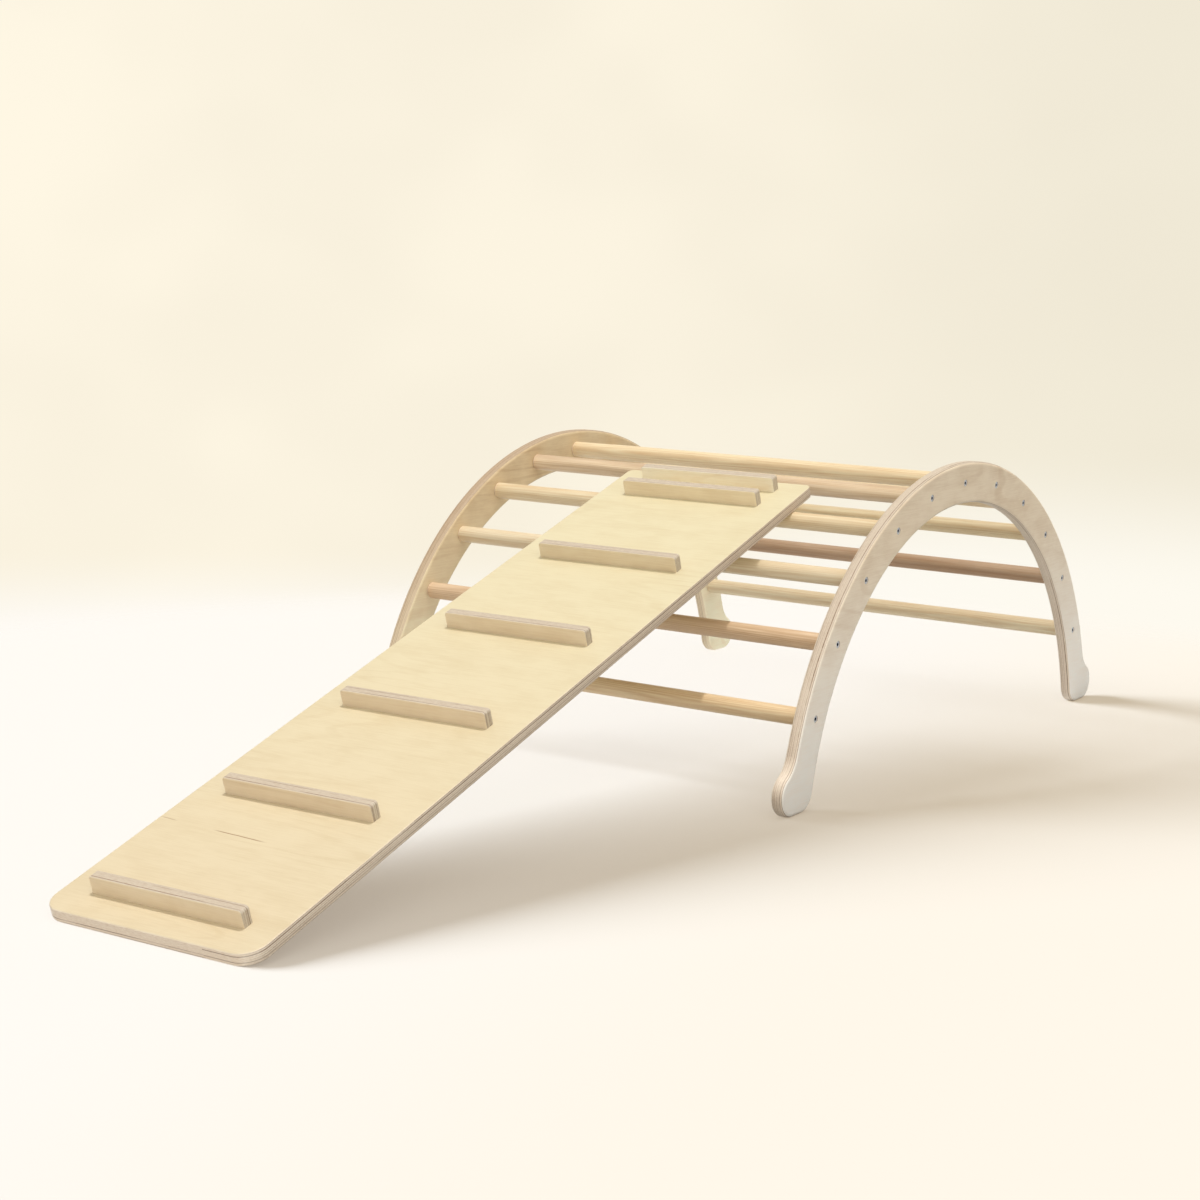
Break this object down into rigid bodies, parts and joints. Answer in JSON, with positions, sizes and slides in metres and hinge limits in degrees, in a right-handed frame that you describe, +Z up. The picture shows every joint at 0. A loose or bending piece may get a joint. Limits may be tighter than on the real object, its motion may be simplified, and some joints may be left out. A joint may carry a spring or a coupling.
{
  "type": "wooden climbing arch with ramp",
  "caption": "Child's wooden climbing and rocking arch of plywood side panels and round rungs, with a cleated ramp board hooked over a rung.",
  "frame": {"origin": "on the floor, midway between the two side panels and midway between the arch's front and back feet", "axes": "+X across the arch from the left panel to the right one, +Y along the arch away from the ramp's foot, +Z up"},
  "size_m": [0.7, 1.8557, 0.423],
  "materials": {
    "panel_ply": "satin",
    "rung_wood": "satin",
    "ramp_ply": "satin",
    "cleat_ply": "satin",
    "screw_steel": "satin"
  },
  "bodies": {
    "arch": {"side_panel_left": "panel_ply", "side_panel_right": "panel_ply", "rung_01": "rung_wood", "rung_02": "rung_wood", "rung_03": "rung_wood", "rung_04": "rung_wood", "rung_05": "rung_wood", "rung_06": "rung_wood", "rung_07": "rung_wood", "rung_08": "rung_wood", "rung_09": "rung_wood", "rung_10": "rung_wood", "rung_11": "rung_wood", "panel_screws_left": "screw_steel", "panel_screws_right": "screw_steel"},
    "ramp": {"ramp_board": "ramp_ply", "step_cleat_1": "cleat_ply", "step_cleat_2": "cleat_ply", "step_cleat_3": "cleat_ply", "step_cleat_4": "cleat_ply", "step_cleat_5": "cleat_ply", "flip_hook_low": "cleat_ply", "flip_hook_high": "cleat_ply", "hook_cleat_low": "cleat_ply", "hook_cleat_high": "cleat_ply", "step_cleat_screws": "screw_steel", "hook_screws": "screw_steel"}
  },
  "joints": [
    {"name": "ramp_lift", "type": "hinge", "parent": "arch", "child": "ramp", "pos_m": [0, -0.20453, 0.34553], "axis": [-1, 0, 0], "range_deg": [0, 45]}
  ]
}
